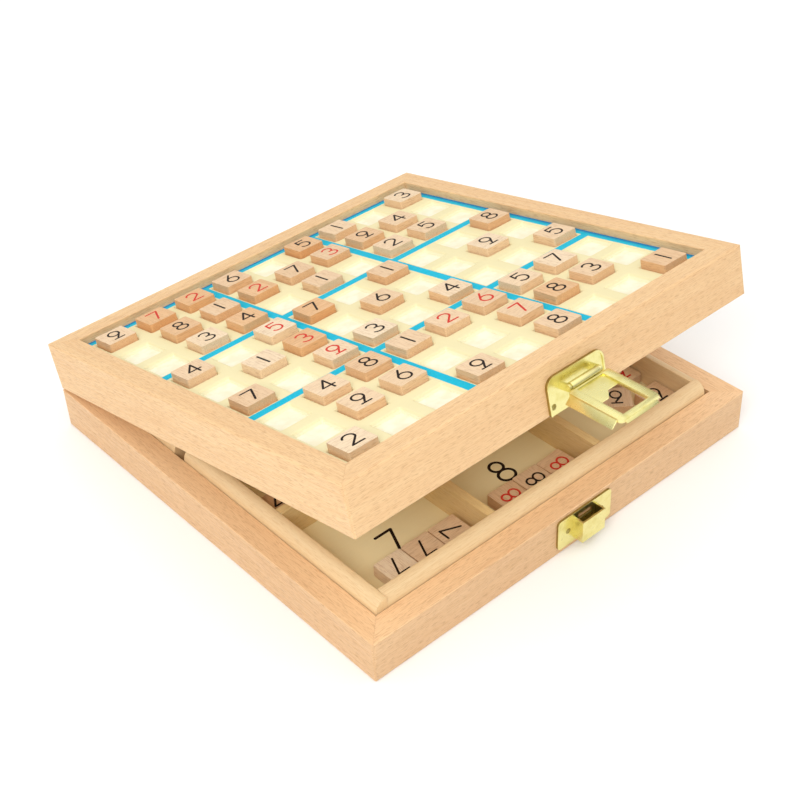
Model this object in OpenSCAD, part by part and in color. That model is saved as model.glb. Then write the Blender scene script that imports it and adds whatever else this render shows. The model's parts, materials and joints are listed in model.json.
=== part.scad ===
// Wooden sudoku board: a hinged box whose lid is the playing board and whose base holds the loose tiles.
// The base is centred on the origin and stands on z = 0, with the latch towards -Y and the hinges towards +Y.

/* [Box] */
// Outside width of the box, left to right
box_w = 220; // [200:1:260]
// Outside depth of the box, front to back
box_d = 220; // [200:1:260]
// Height of the base frame
base_h = 20.5; // [19:0.5:26]
// Height of the lid frame
lid_h = 23; // [20:0.5:30]
// Thickness of the rails of both frames
rail_t = 11; // [9:0.5:12]
// Rounding of the long outer edges of the frames
edge_r = 1.2; // [0.6:0.1:2]
// Rounding of the edges that meet at the seam and of the rim's inner edge
seam_r = 0.5; // [0.2:0.1:1]
// Rounding of the upright corners
corner_r = 1.6; // [0.6:0.1:3]
// Gap between the closed lid and the base
seam_gap = 0.2; // [0.1:0.1:0.5]
// Angle at which the lid stands open, in degrees
lid_open = 13; // [0:1:60]

/* [Bottom and floor] */
// Thickness of the bottom panel, which lies flush with the underside
bottom_t = 4; // [3:0.5:5]
// Thickness of the floor board on it
floor_t = 6.8; // [4:0.1:8]
// Depth of the rebate and of the groove that hold the panels
groove_depth = 3; // [2:0.5:5]
// Free room between a panel's edge and the wood beside it
groove_play = 0.2; // [0.1:0.1:0.5]

/* [Lip strips] */
// Thickness of a lip strip
strip_t = 6; // [4:0.5:8]
// Height of the strips above the base frame
strip_rise = 5.5; // [3:0.5:8]
// Rounding of a strip's outer top edge
strip_round = 5.2; // [2:0.1:5.4]
// Gap between a strip and the rail beside it
strip_gap = 0.3; // [0.2:0.1:0.6]
// Length of the break between the two lengths of a side strip
strip_break = 7; // [5:0.5:12]
// Room left between the front strip's end and the right rail
front_strip_short = 3; // [1:0.5:5]

/* [Dividers] */
// Thickness of a divider
divider_t = 4; // [2.5:0.5:6]
// Free room on each side of a half-lap notch
lap_play = 0.1; // [0.05:0.05:0.3]

/* [Board] */
// Depth of the board's surface below the rim
board_sink = 4; // [3:0.5:6]
// Thickness of the grid plate, which is the depth of a recess
grid_t = 2.3; // [1.5:0.1:3.5]
// Thickness of the backing panel under the grid
backing_t = 3; // [2:0.5:5]
// Width of the board's border, between the rim and the outer recesses
board_border = 4.8; // [4:0.1:6]
// Free room around a tile in its recess
tile_play = 0.3; // [0.2:0.05:0.6]
// Corner rounding of a recess
recess_r = 0.6; // [0.2:0.1:1]

/* [Tiles] */
// Width of a number tile
tile_w = 14.2; // [12:0.1:16]
// Thickness of a number tile
tile_t = 5.8; // [4:0.1:7]
// Rounding of a tile's upright edges
tile_r = 0.8; // [0.3:0.1:1.5]
// Largest turn of a tile in its recess, in degrees
tile_turn = 1.4; // [0:0.1:1.6]
// Room between neighbouring tiles in a compartment
tile_gap = 0.5; // [0.3:0.1:1]

/* [Hinges] */
// Length of a hinge
hinge_w = 26; // [20:1:36]
// Distance of a hinge's middle from the box's middle
hinge_x = 62; // [40:1:80]
// Height of a hinge leaf
leaf_h = 9.5; // [8:0.5:12]
// Thickness of a hinge leaf
leaf_t = 1; // [0.8:0.1:1.2]
// Outer radius of the hinge knuckles
knuckle_r = 2.2; // [1.8:0.1:2.6]
// Radius of the hinge pins
pin_r = 1; // [0.8:0.1:1.2]
// Gap around and between the hinge knuckles
knuckle_gap = 0.3; // [0.2:0.1:0.5]
// Running clearance of a knuckle on its pin
pin_play = 0.05; // [0.02:0.01:0.08]

/* [Latch] */
// Distance of the latch from the box's middle, towards the right
latch_x = 4.8; // [-10:0.2:10]
// Width of the latch plate and of the keeper plate
plate_w = 32; // [29:0.5:36]
// Thickness of the brass plates
plate_t = 1; // [0.8:0.1:1.2]
// Height of the latch plate
plate_h = 16.5; // [15.5:0.5:18]
// Corner rounding of the latch plate's upper end
plate_r = 4.5; // [2:0.5:6]
// Width of the raised rim of the latch plate
rim_w = 0.9; // [0.6:0.1:1.4]
// Height of the raised rim above the plate
rim_h = 0.4; // [0.2:0.1:0.6]
// Height of the hasp's pin above the lid's lower edge
hasp_rise = 11; // [10:0.5:11.5]
// Distance of the hasp's pin from the lid's front
hasp_out = 5.4; // [5:0.1:5.8]
// Width of the hasp's rolled knuckle
hasp_knuckle_w = 15.6; // [12:0.2:17]
// Width of the hasp across its flat frame
hasp_w = 22.5; // [21:0.5:23]
// Thickness of the hasp's sheet
hasp_t = 0.9; // [0.7:0.1:1.2]
// Height of the hasp's frame above its sunk panel
frame_rise = 1; // [0.6:0.1:1.2]
// Width of the frame between the window and the free end
end_border = 2.6; // [2:0.1:2.8]
// Spread of the hasp's skirts
skirt_flare = 2.8; // [1.5:0.1:3]
// Angle at which the hasp stands open from the lid's front, in degrees
hasp_open = 80; // [0:1:150]

/* [Keeper] */
// Height of the keeper plate
keeper_h = 15.5; // [13:0.5:16]
// Height of the keeper's middle above the underside
keeper_rise = 11.2; // [10.5:0.1:11.4]
// Corner rounding of the keeper plate
keeper_r = 2; // [1:0.5:3]
// Width of the keeper's pocket hook
hook_w = 13.6; // [12:0.2:14]
// Height of the pocket hook
hook_h = 10.8; // [9:0.2:11]
// Distance that the hook stands off the base
hook_out = 6.2; // [5.6:0.1:6.6]
// Free room between the hook and the hasp's window
window_play = 0.5; // [0.3:0.1:0.6]
// Width of the slot in the plate behind the hook
slot_w = 8.2; // [6:0.2:10]
// Height of that slot
slot_h = 2.6; // [1.5:0.1:3]

/* [Nails and screws] */
// Radius of a nail or screw head
head_r = 1.4; // [1:0.1:1.5]
// Height of a head
head_h = 0.5; // [0.4:0.1:0.8]
// Radius of a shank
shank_r = 0.7; // [0.5:0.05:0.9]
// Length of a shank in the wood
shank_len = 6; // [4:0.5:7]
// Clearance of a shank in its hole
shank_play = 0.05; // [0.02:0.01:0.1]
// Width of the slot in a head
head_slot_w = 0.4; // [0.3:0.05:0.6]
// Depth of the slot in a head
head_slot_d = 0.35; // [0.2:0.05:0.4]
// Angle at which the slots stand, in degrees
head_slot_turn = 25; // [0:5:90]

/* [Hidden] */
$fn = 48;
overrun = 1;

// The number of cells and of compartments belongs to the game
cells = 9;
bays = 3;

// Colours as photographed
beech = [0.93, 0.78, 0.60];
pale_wood = [0.95, 0.85, 0.66];
cream = [0.98, 0.93, 0.76];
white = [0.98, 0.98, 0.94];
paper = [0.84, 0.74, 0.52];
brass = [0.84, 0.78, 0.42];
tile_wood = [0.88, 0.70, 0.54];

// Heights in the closed box
floor_z = bottom_t + floor_t;
strip_top = base_h + strip_rise;
lid_z = base_h + seam_gap;
board_z = lid_z + lid_h - board_sink;
seat_z = board_z - grid_t;
backing_z = seat_z - backing_t;

// Plan of the frames and of the compartments
inner_w = box_w - 2 * rail_t;
inner_d = box_d - 2 * rail_t;
strip_in = strip_gap + strip_t;
tray_w = inner_w - 2 * strip_in;
tray_d = inner_d - 2 * strip_in;
bay_w = (tray_w - (bays - 1) * divider_t) / bays;
bay_d = (tray_d - (bays - 1) * divider_t) / bays;
bay_x = bay_w + divider_t;
bay_y = bay_d + divider_t;
recess_w = tile_w + 2 * tile_play;
cell_x = (inner_w - 2 * board_border - recess_w) / (cells - 1);
cell_y = (inner_d - 2 * board_border - recess_w) / (cells - 1);
middle_cell = (cells - 1) / 2;

// Hinge axis, behind the back faces and level with the seam
hinge_y = box_d / 2 + knuckle_gap + knuckle_r;
hinge_z = base_h + seam_gap / 2;
knuckle_w = (hinge_w - 2 * knuckle_gap) / 3;
screw_x = hinge_w / 3;

// Hasp: its pin, the window over the hook, and the levels above the lid's front
hasp_knuckle_r = knuckle_r - knuckle_gap;
hasp_pin_r = pin_r - knuckle_gap / 2;
ear_w = plate_t + knuckle_gap;
ear_r = hasp_knuckle_r - knuckle_gap;
ear_x = hasp_knuckle_w / 2 + knuckle_gap / 2 + ear_w / 2;
frame_out = hasp_out + knuckle_gap;
panel_out = frame_out - frame_rise;
skirt_in = plate_t + head_h + knuckle_gap;
hook_t = plate_t;
window_w = hook_w + 2 * window_play;
window_h = hook_h + 2 * window_play;
window_mid = lid_z + hasp_rise - keeper_rise;
window_top = window_mid - window_h / 2;
window_end = window_mid + window_h / 2;
flap_start = ear_r + 2 * knuckle_gap;
flap_end = window_end + end_border;
end_flare = skirt_flare / 2;
ridge_w = rim_w;
side_border = (hasp_w - window_w) / 2;
tongue_step = window_h / 3;
latch_nail_x = plate_w / 2 - rim_w - head_r;
latch_nail_y = hasp_rise / 3;
keeper_nail_x = (hook_w / 2 + hasp_w / 2 + skirt_flare - hasp_t) / 2;

// Phase of a tile's small turn, in degrees for each column and row
turn_phase = [137, 71];

// Rows of the game on the board from the back to the front, with a dot for an empty cell
board_rows = [
    "9726.51.3",
    ".8127394.",
    ".34.1.25.",
    "4.57.1..8",
    ".13.6..9.",
    "7.93.4..5",
    ".4812657.",
    ".96..783.",
    "2..9.8..1"
];

// Tiles in each compartment: share of the free room and count of tiles across, the same along, and the turn
tray_shares = [
    [[-0.5, 0, 0.3, 0, 8], [0.4, 0, -0.5, 0, 40]],
    [[-0.8, 0, -0.8, 0, 0], [-0.8, 1, -0.8, 0, 90], [0.6, 0, 0.5, 0, 25], [-0.6, 0, 0.7, 0, -12]],
    [[0.7, 0, -0.7, 0, 0], [0.7, -1, -0.7, 0, 180], [-0.4, 0, 0.6, 0, 33]],
    [[-0.9, 0, -0.8, 0, 0], [-0.9, 1, -0.8, 0, 0], [-0.9, 2, -0.8, 0, 90], [0.2, 0, 0.5, 0, -20]],
    [[0.8, 0, 0.8, 0, 180], [0.8, -1, 0.8, 0, 0], [0.8, 0, 0.8, -1, 90], [-0.6, 0, -0.5, 0, 15]],
    [[-0.8, 0, 0.8, 0, 0], [-0.8, 1, 0.8, 0, 0], [-0.8, 0, 0.8, -1, 0], [-0.8, 1, 0.8, -1, 90],
     [0.7, 0, -0.7, 0, 10]],
    [[0.9, -2, -0.82, 0, 180], [0.9, -1, -0.82, 0, 180], [0.9, 0, -0.82, 0, 90]],
    [[0.84, -2, -0.9, 0, 88], [0.84, -1, -0.9, 0, 90], [0.84, 0, -0.9, 0, 93], [-0.3, 0, 0.9, 0, 0]],
    [[0.32, 0, -0.28, 0, -40], [0.98, 0, 0.2, 0, 0], [0.98, 0, -0.79, 0, 0]]
];

// Outlines and frames of reference

// Rectangle centred on the origin with round corners
module rounded_rect(w, d, r) {
    square([w - 2 * r, d], center = true);
    square([w, d - 2 * r], center = true);
    for (sx = [-1, 1], sy = [-1, 1])
        translate([sx * (w / 2 - r), sy * (d / 2 - r)]) circle(r);
}

// The waste of rounding one corner at the origin, where the material lies towards +X and +Y
module corner_waste(r) {
    difference() {
        translate([-overrun, -overrun]) square([r + overrun, r + overrun]);
        translate([r, r]) circle(r);
    }
}

// Rectangle from the origin with a radius for each corner: lower left, lower right, upper left, upper right
module eased_rect(w, h, ll, lr, ul, ur) {
    difference() {
        square([w, h]);
        if (ll > 0) corner_waste(ll);
        if (lr > 0) translate([w, 0]) mirror([1, 0]) corner_waste(lr);
        if (ul > 0) translate([0, h]) mirror([0, 1]) corner_waste(ul);
        if (ur > 0) translate([w, h]) mirror([1, 0]) mirror([0, 1]) corner_waste(ur);
    }
}

// Draws a profile of depth (X) and height (Y) along the box's X axis, centred
module along_x(length) {
    rotate([90, 0, 90]) linear_extrude(length, center = true) children();
}

// Turns the closed lid to the angle at which it stands open
module lid_pose() {
    translate([0, hinge_y, hinge_z]) rotate([-lid_open, 0, 0]) translate([0, -hinge_y, -hinge_z]) children();
}

// Turns the closed hasp to the angle at which it stands open
module hasp_pose() {
    axis = [0, -box_d / 2 - hasp_out, lid_z + hasp_rise];
    translate(axis) rotate([-hasp_open, 0, 0]) translate(-axis) children();
}

// Frame on the front face at a given height: X right, Y up, Z out of the box
module on_front(z) {
    translate([latch_x, -box_d / 2, z]) rotate([90, 0, 0]) children();
}

// Frame on the back face at a given place: Y up, Z out of the box
module on_back(x, z) {
    translate([x, box_d / 2, z]) rotate([90, 0, 180]) children();
}

// Wooden frames

// One rail of a frame, mitred at both ends, lying along X with its outer face towards -Y.
// A panel is housed in its inner face between two heights.
module mitred_rail(length, across, height, bottom_r, top_r, rim_r, house_from, house_to) {
    difference() {
        intersection() {
            translate([0, -across / 2, 0]) along_x(length)
                eased_rect(rail_t, height, bottom_r, 0, top_r, rim_r);
            linear_extrude(height) polygon([
                [-length / 2, -across / 2], [length / 2, -across / 2],
                [length / 2 - rail_t, rail_t - across / 2], [rail_t - length / 2, rail_t - across / 2]
            ]);
            linear_extrude(height) rounded_rect(length, across, corner_r);
        }
        translate([-length / 2, rail_t - groove_depth - groove_play - across / 2, house_from])
            cube([length, groove_depth + groove_play + overrun, house_to - house_from]);
    }
}

module base_rail(length, across) {
    mitred_rail(length, across, base_h, edge_r, seam_r, 0, -overrun, bottom_t);
}

module lid_rail(length, across) {
    translate([0, 0, lid_z])
        mitred_rail(length, across, lid_h, seam_r, edge_r, seam_r, backing_z - lid_z, seat_z - lid_z);
}

// Hole for a nail or screw that is driven into the wood along -Z
module pilot_hole() {
    translate([0, 0, -shank_len - shank_play]) cylinder(r = shank_r + shank_play, h = shank_len + overrun);
}

module keeper_nail_places() {
    for (s = [-1, 1]) on_front(keeper_rise) translate([s * keeper_nail_x, 0, 0]) children();
}

module latch_nail_places() {
    for (s = [-1, 1]) on_front(lid_z) translate([s * latch_nail_x, latch_nail_y, 0]) children();
}

// Places of the hinge screws: side is -1 on the base and 1 on the lid
module hinge_screw_places(side) {
    for (h = [-1, 1], s = [-1, 1])
        on_back(h * hinge_x, hinge_z) translate([s * screw_x, side * (leaf_h + knuckle_r) / 2, 0]) children();
}

module base_front_rail() {
    color(beech) difference() {
        base_rail(box_w, box_d);
        keeper_nail_places() pilot_hole();
    }
}

module base_back_rail() {
    color(beech) difference() {
        rotate([0, 0, 180]) base_rail(box_w, box_d);
        hinge_screw_places(-1) pilot_hole();
    }
}

module base_left_rail() {
    color(beech) rotate([0, 0, -90]) base_rail(box_d, box_w);
}

module base_right_rail() {
    color(beech) rotate([0, 0, 90]) base_rail(box_d, box_w);
}

module lid_front_rail() {
    color(beech) lid_pose() difference() {
        lid_rail(box_w, box_d);
        latch_nail_places() pilot_hole();
    }
}

module lid_back_rail() {
    color(beech) lid_pose() difference() {
        rotate([0, 0, 180]) lid_rail(box_w, box_d);
        hinge_screw_places(1) pilot_hole();
    }
}

module lid_left_rail() {
    color(beech) lid_pose() rotate([0, 0, -90]) lid_rail(box_d, box_w);
}

module lid_right_rail() {
    color(beech) lid_pose() rotate([0, 0, 90]) lid_rail(box_d, box_w);
}

// Bottom, floor, lip strips and dividers of the base

// Panel that reaches into the rails of a frame
module housed_panel(z, t) {
    translate([0, 0, z]) linear_extrude(t)
        square([inner_w + 2 * groove_depth, inner_d + 2 * groove_depth], center = true);
}

module bottom_panel() {
    color(pale_wood) housed_panel(0, bottom_t);
}

module floor_board() {
    color(paper) translate([0, 0, bottom_t]) linear_extrude(floor_t) square([tray_w, tray_d], center = true);
}

// Lip strip along X between two places, with its outer face towards -Y at the given distance from the middle
module lip_strip(x0, x1, outer) {
    translate([(x0 + x1) / 2, -outer, bottom_t])
        along_x(x1 - x0) eased_rect(strip_t, strip_top - bottom_t, 0, 0, strip_round, seam_r);
}

module front_strip() {
    color(pale_wood) lip_strip(-tray_w / 2, inner_w / 2 - front_strip_short, inner_d / 2 - strip_gap);
}

module back_strip() {
    color(pale_wood) rotate([0, 0, 180]) lip_strip(-tray_w / 2, tray_w / 2, inner_d / 2 - strip_gap);
}

// The side strips run front to back in two lengths that leave a break at the rear divider
module left_strips() {
    color(pale_wood) rotate([0, 0, -90]) {
        lip_strip(strip_gap - inner_d / 2, -bay_y / 2 - strip_break / 2, inner_w / 2 - strip_gap);
        lip_strip(strip_break / 2 - bay_y / 2, inner_d / 2 - strip_gap, inner_w / 2 - strip_gap);
    }
}

// On the right the front strip passes the end of the side strip
module right_strips() {
    color(pale_wood) rotate([0, 0, 90]) {
        lip_strip(-tray_d / 2, bay_y / 2 - strip_break / 2, inner_w / 2 - strip_gap);
        lip_strip(bay_y / 2 + strip_break / 2, inner_d / 2 - strip_gap, inner_w / 2 - strip_gap);
    }
}

// Divider along X with half-lap notches, cut from above or from below
module divider(length, pitch, from_top) {
    h = strip_top - floor_z;
    notch_w = divider_t + 2 * lap_play;
    translate([0, 0, floor_z]) difference() {
        translate([-length / 2, -divider_t / 2, 0]) cube([length, divider_t, h]);
        for (s = [-1, 1])
            translate([s * pitch / 2 - notch_w / 2, -divider_t / 2 - overrun, from_top ? h / 2 : -overrun])
                cube([notch_w, divider_t + 2 * overrun, h / 2 + overrun]);
    }
}

module divider_front() {
    color(pale_wood) translate([0, -bay_y / 2, 0]) divider(tray_w, bay_x, true);
}

module divider_back() {
    color(pale_wood) translate([0, bay_y / 2, 0]) divider(tray_w, bay_x, true);
}

module divider_left() {
    color(pale_wood) translate([-bay_x / 2, 0, 0]) rotate([0, 0, 90]) divider(tray_d, bay_y, false);
}

module divider_right() {
    color(pale_wood) translate([bay_x / 2, 0, 0]) rotate([0, 0, 90]) divider(tray_d, bay_y, false);
}

// Playing board

// Middle of a cell in the board's plane, with columns from the left and rows from the back
function cell_place(column, row) = [(column - middle_cell) * cell_x, (middle_cell - row) * cell_y];

module board_backing() {
    color(white) lid_pose() housed_panel(backing_z, backing_t);
}

module board_grid() {
    color(cream) lid_pose() translate([0, 0, seat_z]) linear_extrude(grid_t) difference() {
        square([inner_w, inner_d], center = true);
        for (column = [0 : cells - 1], row = [0 : cells - 1])
            translate(cell_place(column, row)) rounded_rect(recess_w, recess_w, recess_r);
    }
}

module tile() {
    linear_extrude(tile_t) rounded_rect(tile_w, tile_w, tile_r);
}

// Small turn of a tile in its recess, different from cell to cell
function seat_turn(column, row) = tile_turn * sin([column, row] * turn_phase);

module board_tiles(digit) {
    color(tile_wood) lid_pose() translate([0, 0, seat_z])
        for (column = [0 : cells - 1], row = [0 : cells - 1])
            if (board_rows[row][column] == str(digit))
                translate(cell_place(column, row)) rotate([0, 0, seat_turn(column, row)]) tile();
}

// Middle of the compartment of a digit: 1 to 3 at the back, 7 to 9 at the front
function bay_middle(digit) = [((digit - 1) % bays - 1) * bay_x, (1 - floor((digit - 1) / bays)) * bay_y];

module tray_tiles(digit) {
    step = tile_w + tile_gap;
    room = [bay_w / 2 - step / 2, bay_d / 2 - step / 2];
    middle = bay_middle(digit);
    color(tile_wood) translate([middle[0], middle[1], floor_z]) for (p = tray_shares[digit - 1])
        translate([p[0] * room[0] + p[1] * step, p[2] * room[1] + p[3] * step, 0])
            rotate([0, 0, p[4]]) tile();
}

// Nails and screws

// Domed nail or screw that stands on z = 0 with its shank downwards
module nail() {
    dome = (head_r * head_r + head_h * head_h) / (2 * head_h);
    difference() {
        intersection() {
            translate([0, 0, head_h - dome]) sphere(dome);
            cylinder(r = head_r + overrun, h = head_h);
        }
        rotate([0, 0, head_slot_turn]) translate([-head_r - overrun, -head_slot_w / 2, head_h - head_slot_d])
            cube([2 * (head_r + overrun), head_slot_w, head_h]);
    }
    translate([0, 0, -shank_len]) cylinder(r = shank_r, h = shank_len + head_h - head_slot_d);
}

module driven_nail(t) {
    translate([0, 0, t]) nail();
}

module nail_hole() {
    translate([0, 0, -overrun]) cylinder(r = shank_r + shank_play, h = plate_t + rim_h + 2 * overrun);
}

module keeper_nails() {
    color(brass) keeper_nail_places() driven_nail(plate_t);
}

module latch_nails() {
    color(brass) lid_pose() latch_nail_places() driven_nail(plate_t);
}

module hinge_base_screws() {
    color(brass) hinge_screw_places(-1) driven_nail(leaf_t);
}

module hinge_lid_screws() {
    color(brass) lid_pose() hinge_screw_places(1) driven_nail(leaf_t);
}

// Hinges

// Cylinder along X about the hinge axis, centred at a distance along the hinge
module on_hinge_axis(x, r, length) {
    translate([x, hinge_y, hinge_z]) rotate([0, 90, 0]) cylinder(r = r, h = length, center = true);
}

// Leaf on one side of the axis with knuckles at some places and room for the other leaf's knuckles
module hinge_leaf(side, own, other, bore) {
    step = knuckle_w + knuckle_gap;
    difference() {
        union() {
            translate([-hinge_w / 2, box_d / 2, side > 0 ? hinge_z : hinge_z - leaf_h - knuckle_r])
                cube([hinge_w, leaf_t, leaf_h + knuckle_r]);
            for (k = own) {
                on_hinge_axis(k * step, knuckle_r, knuckle_w);
                translate([k * step - knuckle_w / 2, box_d / 2, side > 0 ? hinge_z : hinge_z - knuckle_r])
                    cube([knuckle_w, leaf_t, knuckle_r]);
            }
        }
        for (k = other) on_hinge_axis(k * step, knuckle_r + knuckle_gap, knuckle_w + 2 * knuckle_gap);
        on_hinge_axis(0, bore, hinge_w + 2 * overrun);
        for (s = [-1, 1])
            on_back(s * screw_x, hinge_z) translate([0, side * (leaf_h + knuckle_r) / 2, 0]) nail_hole();
    }
}

module hinge_base_leaves() {
    color(brass) for (h = [-1, 1]) translate([h * hinge_x, 0, 0]) hinge_leaf(-1, [-1, 1], [0], pin_r);
}

module hinge_lid_leaves() {
    color(brass) lid_pose() for (h = [-1, 1])
        translate([h * hinge_x, 0, 0]) hinge_leaf(1, [0], [-1, 1], pin_r + pin_play);
}

module hinge_pins() {
    color(brass) for (h = [-1, 1]) translate([h * hinge_x, 0, 0]) on_hinge_axis(0, pin_r, hinge_w);
}

// Latch on the lid

// Cylinder along X about the hasp's pin, in the frame of the front face
module on_hasp_axis(x, r, length) {
    translate([x, hasp_rise, hasp_out]) rotate([0, 90, 0]) cylinder(r = r, h = length, center = true);
}

// Outline of the latch plate, whose lower edge lies on the lid's lower edge
module plate_outline() {
    translate([-plate_w / 2, 0]) eased_rect(plate_w, plate_h, rim_w, rim_w, plate_r, plate_r);
}

module latch_plate() {
    color(brass) lid_pose() on_front(lid_z) difference() {
        union() {
            linear_extrude(plate_t) plate_outline();
            linear_extrude(plate_t + rim_h) difference() {
                plate_outline();
                translate([rim_w - plate_w / 2, -overrun]) eased_rect(
                    plate_w - 2 * rim_w, plate_h - rim_w + overrun, 0, 0, plate_r - rim_w, plate_r - rim_w);
            }
            for (s = [-1, 1]) {
                on_hasp_axis(s * ear_x, ear_r, ear_w);
                translate([s * ear_x - ear_w / 2, hasp_rise - ear_r, 0])
                    cube([ear_w, 2 * ear_r, hasp_out]);
            }
        }
        on_hasp_axis(0, hasp_pin_r, plate_w);
        for (s = [-1, 1]) translate([s * latch_nail_x, latch_nail_y, 0]) nail_hole();
    }
}

module latch_pin() {
    color(brass) lid_pose() on_front(lid_z) on_hasp_axis(0, hasp_pin_r, 2 * ear_x + ear_w);
}

// Outline of the hasp's flat part, with X across and Y downwards from the pin
module flap_outline() {
    translate([-hasp_w / 2, flap_start])
        eased_rect(hasp_w, flap_end - flap_start, rim_w, rim_w, plate_r / 2, plate_r / 2);
}

// Window over the hook; its upper edge steps back beside a tongue
module window_outline() {
    polygon([
        [-window_w / 2, window_end], [-window_w / 2, window_top], [-tongue_step / 2, window_top],
        [tongue_step / 2, window_top - tongue_step], [window_w / 2, window_top - tongue_step],
        [window_w / 2, window_end]
    ]);
}

// Places a flat shape drawn downwards from the pin between two heights over the lid's front
module flap_layer(from, to) {
    translate([0, hasp_rise, from]) mirror([0, 1, 0]) linear_extrude(to - from) children();
}

module hasp() {
    color(brass) lid_pose() hasp_pose() on_front(lid_z) difference() {
        union() {
            on_hasp_axis(0, hasp_knuckle_r, hasp_knuckle_w);
            flap_layer(panel_out - hasp_t, panel_out) {
                translate([-hasp_knuckle_w / 2, 0]) square([hasp_knuckle_w, flap_start + ridge_w]);
                flap_outline();
            }
            flap_layer(panel_out - hasp_t, frame_out) difference() {
                flap_outline();
                translate([side_border - hasp_w / 2, flap_start + ridge_w])
                    square([hasp_w - 2 * side_border, window_end - flap_start - ridge_w]);
            }
            hasp_skirts();
        }
        on_hasp_axis(0, hasp_pin_r + pin_play, plate_w);
        flap_layer(skirt_in, frame_out + overrun) window_outline();
    }
}

// Flared skirts at both sides and at the free end
module hasp_skirts() {
    for (s = [0, 1]) mirror([s, 0, 0]) translate([0, hasp_rise - flap_start - ridge_w, 0]) rotate([90, 0, 0])
        linear_extrude(flap_end - flap_start - ridge_w - plate_r / 2) polygon([
            [hasp_w / 2, frame_out - hasp_t], [hasp_w / 2 + skirt_flare, skirt_in],
            [hasp_w / 2 + skirt_flare - hasp_t, skirt_in], [hasp_w / 2 - hasp_t, frame_out - hasp_t]
        ]);
    translate([0, hasp_rise, 0]) rotate([0, 90, 0]) rotate([0, 0, 90])
        linear_extrude(hasp_w - plate_r, center = true) mirror([1, 0]) polygon([
            [flap_end, frame_out - hasp_t], [flap_end + end_flare, panel_out - hasp_t],
            [flap_end + end_flare - hasp_t, panel_out - hasp_t], [flap_end - hasp_t, frame_out - hasp_t]
        ]);
}

// Keeper on the base: plate with a pocket that is open at the top
module keeper() {
    color(brass) on_front(keeper_rise) difference() {
        union() {
            linear_extrude(plate_t) rounded_rect(plate_w, keeper_h, keeper_r);
            translate([-hook_w / 2, -hook_h / 2, 0]) cube([hook_w, hook_h, hook_out]);
        }
        translate([hook_t - hook_w / 2, hook_t - hook_h / 2, plate_t])
            cube([hook_w - 2 * hook_t, hook_h, hook_out - plate_t - hook_t]);
        translate([-slot_w / 2, hook_h / 2 - slot_h, -overrun]) cube([slot_w, slot_h, plate_t + 2 * overrun]);
        for (s = [-1, 1]) translate([s * keeper_nail_x, 0, 0]) nail_hole();
    }
}

base_front_rail();
base_back_rail();
base_left_rail();
base_right_rail();
bottom_panel();
floor_board();
front_strip();
back_strip();
left_strips();
right_strips();
divider_left();
divider_right();
divider_front();
divider_back();
keeper();
keeper_nails();
hinge_base_leaves();
hinge_pins();
hinge_base_screws();
lid_front_rail();
lid_back_rail();
lid_left_rail();
lid_right_rail();
board_backing();
board_grid();
hinge_lid_leaves();
hinge_lid_screws();
latch_plate();
latch_nails();
latch_pin();
hasp();
board_tiles(1);  // board_ones
board_tiles(2);  // board_twos
board_tiles(3);  // board_threes
board_tiles(4);  // board_fours
board_tiles(5);  // board_fives
board_tiles(6);  // board_sixes
board_tiles(7);  // board_sevens
board_tiles(8);  // board_eights
board_tiles(9);  // board_nines
tray_tiles(1);  // tray_ones
tray_tiles(2);  // tray_twos
tray_tiles(3);  // tray_threes
tray_tiles(4);  // tray_fours
tray_tiles(5);  // tray_fives
tray_tiles(6);  // tray_sixes
tray_tiles(7);  // tray_sevens
tray_tiles(8);  // tray_eights
tray_tiles(9);  // tray_nines
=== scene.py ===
# %% [markdown]
# A wooden sudoku box
# The object is a shallow beech box, 22 cm square. Its lid is the playing board, its base is a tray
# with nine compartments for the spare number tiles, and a brass latch keeps the two together. The
# solids come from the imported frame, in metres and already in place, so the first job is to open it
# and to hang each solid on the body that it moves with.

# %% Open the frame
import json
import math
import random

import bmesh
import bpy
from mathutils import Matrix, Vector

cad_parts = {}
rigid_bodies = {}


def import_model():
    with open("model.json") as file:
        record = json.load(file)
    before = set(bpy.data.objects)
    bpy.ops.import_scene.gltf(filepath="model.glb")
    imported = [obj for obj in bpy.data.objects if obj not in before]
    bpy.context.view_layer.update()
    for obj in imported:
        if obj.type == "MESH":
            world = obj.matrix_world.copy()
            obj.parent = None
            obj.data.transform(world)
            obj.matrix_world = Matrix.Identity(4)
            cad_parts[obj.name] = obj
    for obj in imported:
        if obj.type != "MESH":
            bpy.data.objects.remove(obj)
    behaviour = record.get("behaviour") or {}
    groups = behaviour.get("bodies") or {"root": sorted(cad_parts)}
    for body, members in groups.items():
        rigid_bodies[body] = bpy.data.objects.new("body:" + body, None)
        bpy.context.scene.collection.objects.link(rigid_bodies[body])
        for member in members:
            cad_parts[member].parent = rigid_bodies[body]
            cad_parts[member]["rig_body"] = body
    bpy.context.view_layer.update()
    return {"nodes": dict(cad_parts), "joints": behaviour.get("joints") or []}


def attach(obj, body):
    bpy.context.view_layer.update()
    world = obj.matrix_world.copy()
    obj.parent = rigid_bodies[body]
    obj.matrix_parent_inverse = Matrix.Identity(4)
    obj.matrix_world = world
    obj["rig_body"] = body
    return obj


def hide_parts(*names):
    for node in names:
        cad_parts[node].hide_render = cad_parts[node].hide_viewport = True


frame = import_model()
nodes = frame["nodes"]
MM = 0.001

# %% [markdown]
# The lid's own frame
# The lid stands open by thirteen degrees. Board, rails and tiles are far easier to describe on a
# closed lid, where the board is level, so this step makes two matrices from the hinge in the
# record: one carries a point of the closed lid to where it is in the picture, and the other
# carries it back.

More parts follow.
